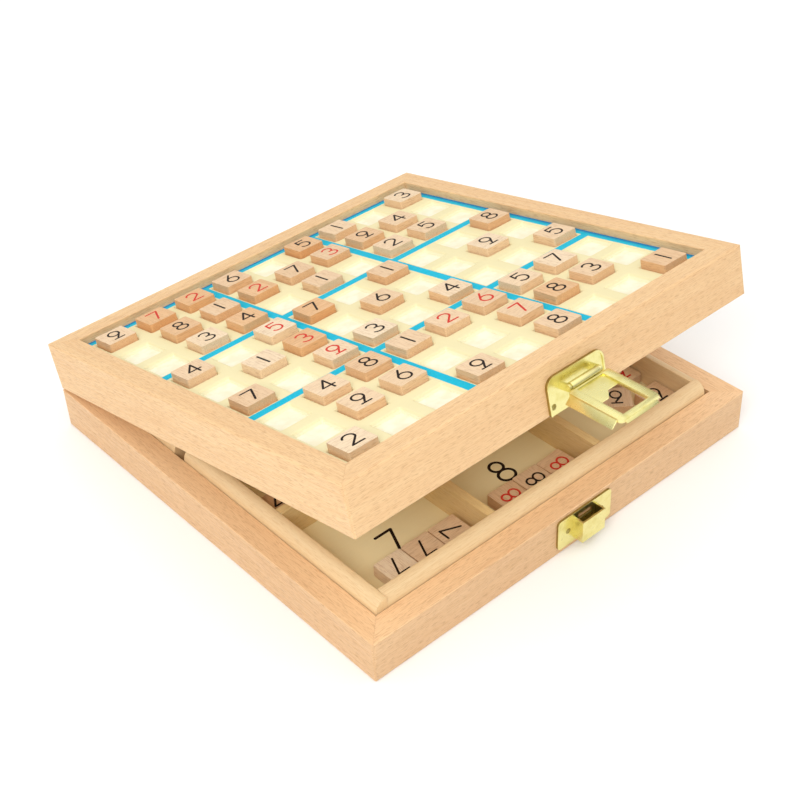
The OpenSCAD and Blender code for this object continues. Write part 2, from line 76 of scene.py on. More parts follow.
# %% Matrices of the lid
hinge = next(j for j in frame["joints"] if j["name"] == "lid_hinge")
hinge_at = Vector(hinge["pos_m"])
lid_open = math.radians(-hinge["range_deg"][0])
to_hinge = Matrix.Translation(hinge_at)
swing = Matrix.Rotation(lid_open, 4, Vector(hinge["axis"]))
lid_rest = to_hinge @ swing @ to_hinge.inverted()
lid_shut = lid_rest.inverted()
base_rest = Matrix.Identity(4)
print("lid stands open by", round(math.degrees(lid_open), 2), "degrees about", tuple(hinge_at))

# %% [markdown]
# Camera
# The picture was taken from the front left, a little under forty degrees above the table, with a
# slight lean to one side. A camera can be aimed with a constraint, but a constraint leaves no room
# for the lean. Here the three axes of the camera are worked out as vectors and written into its
# matrix, so that every number has a plain meaning.

# %% Place the camera
azimuth, elevation, lean = math.radians(-39.88), math.radians(38.04), math.radians(-2.95)
aim = Vector((12.8, 14.0, 0.0)) * MM
distance = 697.5 * MM
SENSOR_WIDTH = 36.0
FOCAL_PIXELS, PICTURE_PIXELS = 1473.1, 800
toward = Vector((math.sin(azimuth) * math.cos(elevation),
                 -math.cos(azimuth) * math.cos(elevation), math.sin(elevation)))
level = Vector((0, 0, 1)).cross(toward).normalized()
upright = toward.cross(level)
right_axis = math.cos(lean) * level + math.sin(lean) * upright
up_axis = math.cos(lean) * upright - math.sin(lean) * level
lens = bpy.data.cameras.new("view")
lens.sensor_width = SENSOR_WIDTH
lens.lens = FOCAL_PIXELS / PICTURE_PIXELS * SENSOR_WIDTH
lens.clip_start = 0.01
camera = bpy.data.objects.new("view", lens)
bpy.context.scene.collection.objects.link(camera)
turn = Matrix((right_axis, up_axis, toward)).transposed().to_4x4()
camera.matrix_world = Matrix.Translation(aim + distance * toward) @ turn
bpy.context.scene.camera = camera
print("camera stands at", [round(c, 3) for c in camera.matrix_world.translation])

# %% [markdown]
# Small helpers for shader nodes
# A material made of nodes is a list of boxes and wires, and most of the boxes are the same few
# kinds. These helpers make one box each and wire up whatever is handed to them: a number is typed
# into the socket, an output is linked. The last ones start a material, give it its colour, its
# roughness and its relief, and make and use a node group, for an effect that several materials
# share. They keep the recipes of wood, brass and print below short enough to read.

# %% Helpers that make one node
def feed(tree, socket, value):
    """Types a number or colour into a socket, or links another node's output to it."""
    if isinstance(value, bpy.types.NodeSocket):
        tree.links.new(value, socket)
    elif isinstance(value, (tuple, list)) and len(value) == 3 and socket.type == "RGBA":
        socket.default_value = (*value, 1.0)
    else:
        socket.default_value = value


def sums(tree, operation, first, second=0.0, clamp=False):
    """One arithmetic step on two values."""
    node = tree.nodes.new("ShaderNodeMath")
    node.operation = operation
    node.use_clamp = clamp
    feed(tree, node.inputs[0], first)
    feed(tree, node.inputs[1], second)
    return node.outputs[0]


def cloud(tree, place, scale, detail=2.0, roughness=0.5, distortion=0.0):
    """Smooth random values around one half."""
    node = tree.nodes.new("ShaderNodeTexNoise")
    feed(tree, node.inputs["Vector"], place)
    node.inputs["Scale"].default_value = scale
    node.inputs["Detail"].default_value = detail
    node.inputs["Roughness"].default_value = roughness
    node.inputs["Distortion"].default_value = distortion
    return node.outputs[0]


def grained(tree, place, along, across, detail=2.0, roughness=0.5, distortion=0.0):
    """Smooth random values with one scale along the grain, which is X, and another across it."""
    node = tree.nodes.new("ShaderNodeVectorMath")
    node.operation = "MULTIPLY"
    feed(tree, node.inputs[0], place)
    node.inputs[1].default_value = (along, across, across)
    return cloud(tree, node.outputs[0], 1.0, detail, roughness, distortion)


def span(tree, value, low, high, to_low=0.0, to_high=1.0):
    """Values between two marks, spread smoothly over a new range."""
    node = tree.nodes.new("ShaderNodeMapRange")
    node.interpolation_type = "SMOOTHSTEP"
    for socket, item in zip(node.inputs, (value, low, high, to_low, to_high)):
        feed(tree, socket, item)
    return node.outputs[0]


def blend(tree, amount, first, second, kind="MIX"):
    """Mixes two colours."""
    node = tree.nodes.new("ShaderNodeMix")
    node.data_type = "RGBA"
    node.blend_type = kind
    feed(tree, node.inputs[0], amount)
    feed(tree, node.inputs[6], first)
    feed(tree, node.inputs[7], second)
    return node.outputs[2]


def carried(tree, name, output="Vector"):
    """A value that the mesh carries on its vertices."""
    node = tree.nodes.new("ShaderNodeAttribute")
    node.attribute_name = name
    return node.outputs[output]


print("node helpers ready")

# %% Helpers for materials and node groups
def finish(name):
    """A new material with its node tree and its shader."""
    material = bpy.data.materials.new(name)
    material.use_nodes = True
    tree = material.node_tree
    return material, tree, tree.nodes["Principled BSDF"]


def tint(tree, shader, colour, roughness):
    """Gives a shader its colour and its roughness."""
    feed(tree, shader.inputs["Base Color"], colour)
    feed(tree, shader.inputs["Roughness"], roughness)


def bump(tree, shader, height, strength, depth):
    """Turns a height into a relief of a given depth in millimetres."""
    node = tree.nodes.new("ShaderNodeBump")
    node.inputs["Strength"].default_value = strength
    node.inputs["Distance"].default_value = depth * MM
    feed(tree, node.inputs["Height"], height)
    tree.links.new(node.outputs["Normal"], shader.inputs["Normal"])


def effect(name, takes, gives):
    """A new node group with the sockets of its inputs and of its outputs."""
    group = bpy.data.node_groups.new(name, "ShaderNodeTree")
    for sockets, way in ((takes, "INPUT"), (gives, "OUTPUT")):
        for label, kind in sockets.items():
            group.interface.new_socket(name=label, in_out=way, socket_type=f"NodeSocket{kind}")
    entry, end = group.nodes.new("NodeGroupInput"), group.nodes.new("NodeGroupOutput")
    return group, entry.outputs, end.inputs


def apply(tree, group, values):
    """Puts a node group into a tree and returns its outputs."""
    node = tree.nodes.new("ShaderNodeGroup")
    node.node_tree = group
    for label, value in values.items():
        feed(tree, node.inputs[label], value)
    return node.outputs


print("material helpers ready")

# %% [markdown]
# Table, light and air
# The picture is a bright studio shot with hardly any shadow: top faces are lightest, then the left
# ones, then the front. An even white world would light them all alike, so this one is bright
# overhead and dim lower down, with a pale wall at the horizon, and a soft panel stands at the front
# left, where it also reaches under the open lid. The floor is a large sheet with a faint mottle.
# The plain colour transform keeps the whites as white as they were shot.

# %% Light the stage
scene = bpy.context.scene
scene.view_settings.view_transform = "Standard"
world = bpy.data.worlds.new("studio air")
scene.world = world
world.use_nodes = True
air = world.node_tree
sky = air.nodes["Background"]
direction = air.nodes.new("ShaderNodeSeparateXYZ")
feed(air, direction.inputs[0], air.nodes.new("ShaderNodeTexCoord").outputs["Generated"])
skyward = direction.outputs["Z"]
overhead = span(air, skyward, low=-0.05, high=1.0, to_low=0.14, to_high=1.36)
pale_wall = span(air, skyward, low=0.15, high=0.05, to_low=0.0, to_high=0.85)
feed(air, sky.inputs["Color"], (1.0, 0.99, 0.97))
feed(air, sky.inputs["Strength"], sums(air, "ADD", overhead, pale_wall))


def soft_panel(name, place, target, size, power):
    """A square panel light that faces a point."""
    light = bpy.data.lights.new(name, "AREA")
    light.size = size
    light.energy = power
    panel = bpy.data.objects.new(name, light)
    scene.collection.objects.link(panel)
    panel.location = place
    panel.rotation_euler = (Vector(target) - Vector(place)).to_track_quat("-Z", "Y").to_euler()


soft_panel("front left panel", place=(-1.13, -0.78, 1.18), target=(0, 0, 0.05), size=0.8,
           power=12.5)
print("light from", world.name, "and", [light.name for light in bpy.data.lights])

# %% Floor of the studio
FLOOR_REACH = 40.0
floor_mesh = bpy.data.meshes.new("studio floor")
sheet = bmesh.new()
bmesh.ops.create_grid(sheet, x_segments=8, y_segments=8, size=FLOOR_REACH)
sheet.to_mesh(floor_mesh)
sheet.free()
studio_floor = bpy.data.objects.new("studio_floor", floor_mesh)
scene.collection.objects.link(studio_floor)
paper, tree, shader = finish("studio paper")
coordinates = tree.nodes.new("ShaderNodeTexCoord")
mottle = cloud(tree, coordinates.outputs["Object"], 9.0, 3.0)
tint(tree, shader, blend(tree, mottle, (0.93, 0.93, 0.92), (0.96, 0.96, 0.955)), 0.85)
floor_mesh.materials.append(paper)
print("floor reaches", FLOOR_REACH, "metres each way")

# %% [markdown]
# The figure of the wood
# Beech is pale and even, with short dark flecks that lie along the grain and faint streaks from its
# growth rings. Rails, strips, dividers and tiles are all cut from it, so the figure is one node
# group that each wood material uses with its own colours. It reads a place in millimetres whose X
# runs along the grain, and noise that is stretched along X gives streaks, flecks and fibres at
# their real sizes, on end grain too.

# %% Make the figure of the wood
figure, given, made = effect(
    "wood figure",
    {"Place": "Vector", "Pale": "Color", "Deep": "Color", "Fleck": "Color",
     "Fleck Amount": "Float"},
    {"Color": "Color", "Roughness": "Float", "Height": "Float"})
place = given["Place"]
broad = span(figure, grained(figure, place, 0.008, 0.06), 0.3, 0.7)
rings = span(figure, grained(figure, place, 0.006, 0.38, 3.0, 0.6, 0.5), 0.35, 0.68)
fibre = span(figure, grained(figure, place, 0.07, 1.9, 3.0, 0.6), 0.3, 0.7)
flecks = span(figure, grained(figure, place, 0.26, 3.3, 1.0), 0.54, 0.64)
broad_share = sums(figure, "MULTIPLY", broad, 0.3)
rings_share = sums(figure, "MULTIPLY", rings, 0.3)
fibre_share = sums(figure, "MULTIPLY", fibre, 0.4)
tone = sums(figure, "ADD", broad_share, rings_share)
tone = sums(figure, "ADD", tone, fibre_share, clamp=True)
wood_colour = blend(figure, tone, given["Pale"], given["Deep"])
fleck_amount = sums(figure, "MULTIPLY", flecks, given["Fleck Amount"])
wood_colour = blend(figure, fleck_amount, wood_colour, given["Fleck"])
feed(figure, made["Color"], wood_colour)
feed(figure, made["Roughness"], span(figure, fibre, 0.2, 0.8, 0.42, 0.6))
feed(figure, made["Height"], sums(figure, "SUBTRACT", fibre, flecks))
print("wood figure with", len(figure.nodes), "nodes")

# %% [markdown]
# Finishes of the wooden pieces
# The frames are sanded and lightly lacquered beech, pinker in the base than in the lid. The top of
# the base has a paler mix of its own, painted light that lifts it out of the shade of the open lid.
# The lip strips and the dividers are a paler, yellower wood and the bottom is thin plywood. Each is
# the same figure with its own three colours, and the relief stays under a tenth of a millimetre
# because the real wood feels smooth.

# %% Mix the wood finishes
WOOD_RELIEF = 0.08


def wood_finish(name, pale, deep, fleck, amount, relief=0.3):
    """A wood material that reads its place along the grain from the mesh."""
    material, tree, shader = finish(name)
    wood = apply(tree, figure, {"Place": carried(tree, "grain"), "Pale": pale, "Deep": deep,
                                "Fleck": fleck, "Fleck Amount": amount})
    tint(tree, shader, wood["Color"], wood["Roughness"])
    shader.inputs["Coat Weight"].default_value = 0.08
    shader.inputs["Coat Roughness"].default_value = 0.35
    bump(tree, shader, wood["Height"], relief, WOOD_RELIEF)
    return material


beech = wood_finish(
    "sanded beech", (0.85, 0.585, 0.31), (0.75, 0.46, 0.225), (0.52, 0.27, 0.12), 0.45)
base_beech = wood_finish(
    "pinker beech", (0.80, 0.53, 0.29), (0.69, 0.42, 0.21), (0.46, 0.23, 0.10), 0.5)
# painted light: a paler mix for the faces of the base that look up, under the lid's shade
base_top_painted_light = wood_finish(
    "beech with painted light on top", (0.93, 0.63, 0.355), (0.82, 0.51, 0.265), (0.56, 0.30, 0.14), 0.45)
strip_wood = wood_finish(
    "pale strip wood", (0.87, 0.66, 0.38), (0.80, 0.56, 0.295), (0.58, 0.34, 0.15), 0.25)
divider_wood = wood_finish(
    "divider wood", (0.86, 0.64, 0.31), (0.77, 0.53, 0.22), (0.50, 0.28, 0.10), 0.25)
plywood = wood_finish(
    "bottom plywood", (0.82, 0.64, 0.40), (0.72, 0.51, 0.29), (0.52, 0.33, 0.17), 0.35, 0.45)
woods = (beech, base_beech, base_top_painted_light, strip_wood, divider_wood, plywood)
print("wood finishes", [wood.name for wood in woods])

# %% [markdown]
# From a solid to a piece
# A solid has knife-sharp edges where two faces meet, and real wood and sheet metal never do. Rather
# than add a modifier to the solid, which must not change, a piece copies its faces, joins the
# triangles of each flat side where that gives clean faces, and eases the chosen edges with a bevel.
# The same step writes the place along the grain on every vertex, from the closed lid. Smooth
# shading would bend the light on the flat sides next to a bevel, so the normals are weighted by the
# size of the faces.

# %% Copy and ease a solid
WELD = 0.0005 * MM
FLAT_WITHIN = math.radians(0.4)


def solid_copy(name, join=True):
    """Copies the faces of a solid and, if wanted, joins the triangles of each flat side."""
    mesh = bmesh.new()
    source = nodes[name].data
    corners = [mesh.verts.new(v.co) for v in source.vertices]
    for polygon in source.polygons:
        mesh.faces.new([corners[i] for i in polygon.vertices])
    bmesh.ops.remove_doubles(mesh, verts=mesh.verts, dist=WELD)
    if join:
        bmesh.ops.dissolve_limit(
            mesh, angle_limit=FLAT_WITHIN, verts=mesh.verts, edges=mesh.edges)
    return mesh


def ease(mesh, width, chosen=lambda edge: True, sharper=40.0, measure="OFFSET"):
    """Bevels the convex edges that are sharper than an angle."""
    edges = [e for e in mesh.edges if len(e.link_faces) == 2 and e.is_convex
             and e.calc_face_angle() > math.radians(sharper) and chosen(e)]
    bmesh.ops.bevel(mesh, geom=edges, offset=width * MM, offset_type=measure, segments=2,
                    profile=0.5, affect="EDGES", clamp_overlap=False)


print("solids to copy", len(nodes))

# %% Write the grain and dress a piece
def along_grain(p, along):
    """A place whose X runs along the grain."""
    return Vector((p.x, p.y, p.z) if along == "X" else (p.y, -p.x, p.z))


def write_grain(mesh, back, along, shift):
    """Writes the place along the grain, in millimetres, on each vertex."""
    layer = mesh.verts.layers.float_vector.new("grain")
    for v in mesh.verts:
        v[layer] = along_grain((back @ v.co) / MM, along) + Vector(shift)


def dress(name, mesh, materials, body, stands_for=(), smooth=32.0, flat=True):
    """Makes the piece, lets it ride on its body and hides the solids that it stands for."""
    data = bpy.data.meshes.new(name)
    mesh.to_mesh(data)
    mesh.free()
    for material in materials:
        data.materials.append(material)
    data.shade_smooth()
    data.set_sharp_from_angle(angle=math.radians(smooth))
    piece = bpy.data.objects.new(name, data)
    scene.collection.objects.link(piece)
    if flat:
        weighted = piece.modifiers.new("flat faces stay flat", "WEIGHTED_NORMAL")
        weighted.keep_sharp = True
        weighted.weight = 100
    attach(piece, body)
    if stands_for:
        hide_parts(*stands_for)
    return piece


print("piece helpers ready")

# %% [markdown]
# Rails of the base and the lid
# Each frame is four rails with mitred corners, and a mitre shows as a hairline where the grain
# turns. The long edges are already rounded in the solids, so only the edges in the mitre planes are
# eased here, by a tenth of a millimetre. Each rail takes its figure from another stretch of the
# plank, so that no two look alike. What faces up on the base gets the paler mix as a second
# material, painted light against the shade of the lid.

# %% Make the rails
MITRE_EASE = 0.1
ON_PLANE = 0.004 * MM
FACES_UP = 0.7
RAIL_STEP, LID_PLANK = Vector((310, 37, 91)), Vector((1500, 0, 500))


def in_mitre(back):
    """Tells whether an edge lies in one of the four upright planes of the mitres."""
    def test(edge):
        ends = [back @ v.co for v in edge.verts]
        return all(abs(abs(p.x) - abs(p.y)) < ON_PLANE for p in ends)
    return test


rails = []
for number, side in enumerate(("front", "back", "left", "right")):
    for body, back in (("base", base_rest), ("lid", lid_shut)):
        node = f"{body}_{side}_rail"
        mesh = solid_copy(node, join=False)
        ease(mesh, MITRE_EASE, in_mitre(back), sharper=20.0)
        shift = RAIL_STEP * number + (LID_PLANK if body == "lid" else Vector())
        write_grain(mesh, back, "X" if side in ("front", "back") else "Y", shift)
        if body == "base":
            # painted light: faces of the base that look up get the paler mix
            for face in mesh.faces:
                face.material_index = 1 if face.normal.z > FACES_UP else 0
        planks = [beech] if body == "lid" else [base_beech, base_top_painted_light]
        rails.append(dress(f"{body}_{side}_beech", mesh, planks, body, [node]))
print("rails", [len(r.data.polygons) for r in rails])

# %% [markdown]
# Inside of the base
# Pale strips stand inside the base frame and guide the lid. Four dividers cross between them in
# half laps and make the nine compartments, and a thin panel closes the bottom. They are sawn pieces
# with lightly broken edges, so each is its solid with every sharp edge eased by a fifth of a
# millimetre, or half of that on the thin panel.

# %% Make strips, dividers and bottom
SAWN_EASE, PANEL_EASE = 0.2, 0.1
INSIDE_STEP = Vector((420, 63, 29))
INSIDE = (
    ("front_strip", "X", strip_wood), ("back_strip", "X", strip_wood),
    ("left_strips", "Y", strip_wood), ("right_strips", "Y", strip_wood),
    ("divider_front", "X", divider_wood), ("divider_back", "X", divider_wood),
    ("divider_left", "Y", divider_wood), ("divider_right", "Y", divider_wood),
    ("bottom_panel", "X", plywood),
)
inside = []
for number, (node, along, material) in enumerate(INSIDE):
    mesh = solid_copy(node)
    ease(mesh, SAWN_EASE if node != "bottom_panel" else PANEL_EASE)
    write_grain(mesh, base_rest, along, INSIDE_STEP * number)
    inside.append(dress(f"{node}_wood", mesh, [material], "base", [node]))
print("inside pieces", [p.name for p in inside])

# %% [markdown]
# Playing board
# The board is a cream plate with eighty-one square recesses whose upper edges are soft, and bright
# blue lines part it into blocks. A copy of the solid would give poor faces around so many holes, so
# the plate is laid cell by cell: a flat collar round each recess, a rounded lip, the wall down to
# the seat and the same collar underneath. The outer cells close the plate at its rim. Sizes come
# from the boxes of the solids.

# %% Measure the board
def shut_box(node, back):
    """Lowest and highest corner of a solid on the closed box, in millimetres."""
    points = [(back @ v.co) / MM for v in nodes[node].data.vertices]
    return [[outermost(p[i] for p in points) for i in range(3)] for outermost in (min, max)]


board_low, board_high = shut_box("board_grid", lid_shut)
half_board = board_high[0]
seat_height, board_height = board_low[2], board_high[2]
CELLS = 9
BORDER = 4.8
TILE_SIDE, TILE_THICK, TILE_CORNER = 14.2, 5.8, 0.8
RECESS_SIDE, RECESS_CORNER = 14.8, 0.6
pitch = (2 * half_board - 2 * BORDER - RECESS_SIDE) / (CELLS - 1)
print("board half", round(half_board, 2), "and pitch", round(pitch, 2))
print("board surface at", round(board_height, 2))

# %% Outlines of a recess and of a cell
def around(count):
    """Each place of a closed ring with the one after it."""
    return [(k, (k + 1) % count) for k in range(count)]


def round_square(side, radius, steps=5):
    """Corner points of a square with round corners, counter-clockwise, as four lists."""
    reach = side / 2 - radius
    corners = []
    for quarter in range(4):
        centre = Vector(((1, 1), (-1, 1), (-1, -1), (1, -1))[quarter]) * reach
        angles = [math.radians(90 * quarter + 90 * k / steps) for k in range(steps + 1)]
        corners.append([centre + radius * Vector((math.cos(a), math.sin(a))) for a in angles])
    return corners


def cell_edges(index):
    """Where a cell's collar begins and ends, measured from the middle of the board."""
    middle = (index - (CELLS - 1) / 2) * pitch
    low = -half_board if index == 0 else middle - pitch / 2
    high = half_board if index == CELLS - 1 else middle + pitch / 2
    return low, middle, high


LIP = 1.1
lip_angles = [math.radians(a) for a in (0, 22.5, 45, 67.5, 90)]
lip_rings = [(LIP * (1 - math.sin(a)), LIP * (1 - math.cos(a))) for a in lip_angles]
print("rings in a lip", len(lip_rings))

# %% Lay the board cell by cell
TOUCHING = 0.001
plate = bmesh.new()


def lay_recess(side, radius, x, y, height):
    """Lays the outline of a recess at one height, as four corners."""
    return [[plate.verts.new((x + p.x, y + p.y, height)) for p in corner]
            for corner in round_square(side, radius)]


for column in range(CELLS):
    x_low, x_mid, x_high = cell_edges(column)
    for row in range(CELLS):
        y_low, y_mid, y_high = cell_edges(row)
        rings = [lay_recess(RECESS_SIDE + 2 * out, RECESS_CORNER + out, x_mid, y_mid,
                            board_height - down) for out, down in lip_rings]
        rings.append(lay_recess(RECESS_SIDE, RECESS_CORNER, x_mid, y_mid, seat_height))
        square = ((x_high, y_high), (x_low, y_high), (x_low, y_low), (x_high, y_low))
        collars = []
        for ring, height in ((rings[0], board_height), (rings[-1], seat_height)):
            collar = [plate.verts.new((x, y, height)) for x, y in square]
            collars.append(collar)
            for k, after in around(4):
                arc = ring[k]
                for first, second in zip(arc, arc[1:]):
                    plate.faces.new((collar[k], second, first))
                plate.faces.new((collar[k], collar[after], ring[after][0], arc[-1]))
        at_rim = (row == CELLS - 1, column == 0, row == 0, column == CELLS - 1)
        top, foot = collars
        for k, after in around(4):
            if at_rim[k]:
                plate.faces.new((top[k], foot[k], foot[after], top[after]))
        loops = [[v for corner in ring for v in corner] for ring in rings]
        for upper, lower in zip(loops, loops[1:]):
            for k, after in around(len(upper)):
                plate.faces.new((upper[k], upper[after], lower[after], lower[k]))
bmesh.ops.remove_doubles(plate, verts=plate.verts, dist=TOUCHING)
bmesh.ops.recalc_face_normals(plate, faces=plate.faces)
print("board faces", len(plate.faces))

# %% [markdown]
# Print of the board
# The cream is a printed paper or lacquer with a faint warm mottle, and the blue lines are printed
# on it. They could be thin strips of mesh, but a print has no thickness. The material reads the
# place on the board instead and asks how far it is from the block lines and from the rim, with a
# little noise so that the ink's edges aren't perfectly straight. The blue of the rim sits half a
# millimetre off the middle and darkens towards the rails as painted shade. Down the walls of the
# recesses the cream pales to the white of the floor, painted light that lifts the shade there.

# %% Mix the print of the board
BLOCK_LINE = 1.5 * pitch
HALF_LINE = 2.15
RIM_LINE = half_board - 3.4
RIM_OFF = 0.5
INK_EDGE = 0.12
WANDER = 0.35
board_print, tree, shader = finish("printed cream board")
on_board = carried(tree, "grain")
unsteady = sums(tree, "SUBTRACT", cloud(tree, on_board, 1.4, 2.0), 0.5)
wander = sums(tree, "MULTIPLY", unsteady, WANDER)
axes = tree.nodes.new("ShaderNodeSeparateXYZ")
feed(tree, axes.inputs[0], on_board)
masks, painted_rim_shade = [], []
for axis in (axes.outputs["X"], axes.outputs["Y"]):
    reach = sums(tree, "ADD", sums(tree, "ABSOLUTE", axis), wander)
    from_line = sums(tree, "ABSOLUTE", sums(tree, "SUBTRACT", reach, BLOCK_LINE))
    masks.append(span(tree, from_line, HALF_LINE + INK_EDGE, HALF_LINE - INK_EDGE))
    off_middle = sums(tree, "ABSOLUTE", sums(tree, "ADD", axis, RIM_OFF))
    off_middle = sums(tree, "ADD", off_middle, wander)
    masks.append(span(tree, off_middle, RIM_LINE - INK_EDGE, RIM_LINE + INK_EDGE))
    # painted shade: the blue darkens towards the rails
    painted_rim_shade.append(span(tree, reach, half_board - 2.6, half_board - 0.6))
line_mask = masks[0]
for mask in masks[1:]:
    line_mask = sums(tree, "MAXIMUM", line_mask, mask)
cream = blend(tree, cloud(tree, on_board, 0.035, 3.0), (0.79, 0.70, 0.41), (0.83, 0.76, 0.47))
blue = blend(tree, cloud(tree, on_board, 0.5, 3.0), (0.0, 0.42, 0.61), (0.002, 0.52, 0.71))
# painted shade: a darker blue at the foot of the rails
blue = blend(tree, sums(tree, "MAXIMUM", *painted_rim_shade), blue, (0.0, 0.22, 0.50))
# painted light: the cream pales down the walls of the recesses, where shade would fall
painted_light_in_recesses = span(tree, axes.outputs["Z"], board_height - 0.25, board_height - 1.5)
cream = blend(tree, painted_light_in_recesses, cream, (0.90, 0.86, 0.64))
sheen = span(tree, line_mask, 0.0, 1.0, 0.5, 0.4)
tint(tree, shader, blend(tree, line_mask, cream, blue), sheen)
shader.inputs["Specular IOR Level"].default_value = 0.15
bump(tree, shader, cloud(tree, on_board, 2.5, 3.0), 0.15, 0.05)
print("print lines at", round(BLOCK_LINE, 2), "and from", round(RIM_LINE, 2), "to the rim")

# %% Set the board in the lid
recess_white, tree, shader = finish("white recess floor")
on_seat = carried(tree, "grain")
faint = span(tree, cloud(tree, on_seat, 0.16, 3.0), 0.35, 0.65)
tint(tree, shader, blend(tree, faint, (0.84, 0.78, 0.57), (0.89, 0.85, 0.68)), 0.55)
bump(tree, shader, cloud(tree, on_seat, 3.0, 3.0), 0.15, 0.05)

LEVEL = 0.9
for v in plate.verts:
    v.co = lid_rest @ (v.co * MM)
write_grain(plate, lid_shut, "X", (0, 0, 0))
board = dress("board_plate", plate, [board_print], "lid", ["board_grid"],
              smooth=50.0)
mesh = solid_copy("board_backing")
for face in mesh.faces:
    face.material_index = 0 if (lid_shut.to_3x3() @ face.normal).z > LEVEL else 1
write_grain(mesh, lid_shut, "X", (0, 0, 0))
seat = dress("board_seat", mesh, [recess_white, plywood], "lid", ["board_backing"])
print("board", len(board.data.polygons), "faces over", seat.name)

# %% [markdown]
# Numerals
# The numerals are thin round strokes: a one is a plain bar, a seven is two bars, a nine has a bar
# under its foot so that it isn't read as a six. A text object would bring a font with another
# character, so each numeral is a few strokes, and each stroke is a closed ribbon with round ends,
# as thin as a coat of ink. The unit is the millimetre on a tile, where a numeral is nine tall.

# %% Draw the strokes of the numerals
def bow(cx, cy, rx, ry, start, stop, steps=26):
    """Points on part of an ellipse, from one angle to another."""
    angles = [math.radians(start + (stop - start) * k / steps) for k in range(steps + 1)]
    return [(cx + rx * math.cos(a), cy + ry * math.sin(a)) for a in angles]


STROKE_HEIGHT = 9
STROKES = {
    1: [[(0, -4.4), (0, 4.4)]],
    2: [bow(0, 1.95, 2.6, 2.45, 165, -32) + [(-2.6, -4.1)], [(-2.6, -4.1), (2.8, -4.1)]],
    3: [bow(-0.1, 2.2, 2.35, 2.2, 150, -90), bow(-0.1, -2.1, 2.8, 2.2, 90, -150)],
    4: [[(1.3, -4.4), (1.3, 4.3)], [(1.3, 4.3), (-2.9, -1.8)], [(-2.9, -1.8), (2.9, -1.8)]],
    5: [[(2.3, 4.2), (-1.7, 4.2)], [(-1.7, 4.2), (-2.2, 0.5)],
        bow(-0.1, -1.4, 2.75, 2.95, 140, -145)],
    6: [bow(0, -1.65, 2.7, 2.75, 0, 360), [(1.2, 4.4), (-2.25, -0.2)]],
    7: [[(-2.7, 4.1), (2.7, 4.1)], [(2.7, 4.1), (-0.9, -4.4)]],
    8: [bow(0, 2.3, 2.1, 2.05, 0, 360), bow(0, -2.05, 2.65, 2.3, 0, 360)],
    9: [bow(0, 1.75, 2.55, 2.6, 0, 360), [(2.2, 0.45), (-0.4, -3.4)],
        [(-2.3, -4.3), (2.3, -4.3)]],
}
print("strokes in each numeral", {d: len(s) for d, s in STROKES.items()})

# %% Lay a stroke as a ribbon
INK_SINKS, INK_STANDS, INK_STEP = 0.02, 0.03, 0.004
TIP_ANGLES = [math.pi * (t / 6 - 0.5) for t in range(1, 6)]


def stroke_outline(points, width, ring):
    """Both long sides of a stroke and its two round tips, which a ring doesn't have."""
    last = len(points) - 1
    sides = []
    for k, p in enumerate(points):
        before = points[k - 1] if k or ring else p
        after = points[(k + 1) % len(points)] if k < last or ring else p
        ahead = (after - before).normalized()
        sides.append((p, ahead, Vector((-ahead.y, ahead.x)) * width / 2))
    tips = []
    for end, sign in ((0, -1), (last, 1)):
        p, ahead, s = sides[end]
        tips.append([p + sign * (math.cos(a) * ahead * width / 2 + math.sin(a) * s)
                     for a in ([] if ring else TIP_ANGLES)])
    return [p - s for p, _, s in sides], [p + s for p, _, s in sides], *tips


def lay_stroke(mesh, points, width, lift, to_place, paint):
    """Lays one stroke as a thin closed ribbon and hands its vertices and faces to the painter."""
    points = [Vector(p) for p in points]
    ring = (points[0] - points[-1]).length < 0.01
    if ring:
        points = points[:-1]
    outline = stroke_outline(points, width, ring)
    steps = around(len(points)) if ring else around(len(points))[:-1]
    vertices, faces, borders = [], [], []
    for height in (lift, -INK_SINKS):
        lows, highs, start, stop = [[mesh.verts.new(to_place(p.x, p.y, height)) for p in row]
                                    for row in outline]
        vertices += lows + highs + start + stop
        flat = [[lows[k], lows[after], highs[after], highs[k]] for k, after in steps]
        if ring:
            borders.append((lows, highs[::-1]))
        else:
            flat += [[lows[-1], *stop, highs[-1]], [highs[0], *start, lows[0]]]
            borders.append((lows + stop + highs[::-1] + start,))
        faces += [mesh.faces.new(corners if height > 0 else corners[::-1]) for corners in flat]
    for upper, lower in zip(*borders):
        faces += [mesh.faces.new((upper[k], lower[k], lower[after], upper[after]))
                  for k, after in around(len(upper))]
    paint(vertices, faces)


def lay_numeral(mesh, digit, to_place, height, width, paint):
    """Lays all strokes of a numeral, each a hair above the one before."""
    for order, stroke in enumerate(STROKES[digit]):
        scaled = [(x * height / STROKE_HEIGHT, y * height / STROKE_HEIGHT) for x, y in stroke]
        lay_stroke(mesh, scaled, width, INK_STANDS + INK_STEP * order, to_place, paint)


print("ink stands", INK_STANDS, "mm above the wood")

# %% [markdown]
# Ink and tile wood
# The tiles are sawn from many offcuts, so their wood runs from pale to pinkish and tan. Their tops
# are sanded pale and their sides are darker, partly the browner saw cut and partly painted shade.
# Each tile carries a tone and this darkening of its sides on its vertices, and the material turns
# them into the colours of the shared figure. The ink breaks up a little over the open pores, and
# the two inks are the same recipe in black and in red.

# %% Mix the inks
wear, given, made = effect("ink wear", {"Place": "Vector", "Thick": "Color", "Thin": "Color"},
                           {"Color": "Color", "Roughness": "Float", "Height": "Float"})
fibres = grained(wear, given["Place"], 0.5, 3.2)
worn = span(wear, fibres, 0.52, 0.78)
feed(wear, made["Color"], blend(wear, worn, given["Thick"], given["Thin"]))
feed(wear, made["Roughness"], span(wear, fibres, 0.3, 0.7, 0.35, 0.55))
feed(wear, made["Height"], fibres)


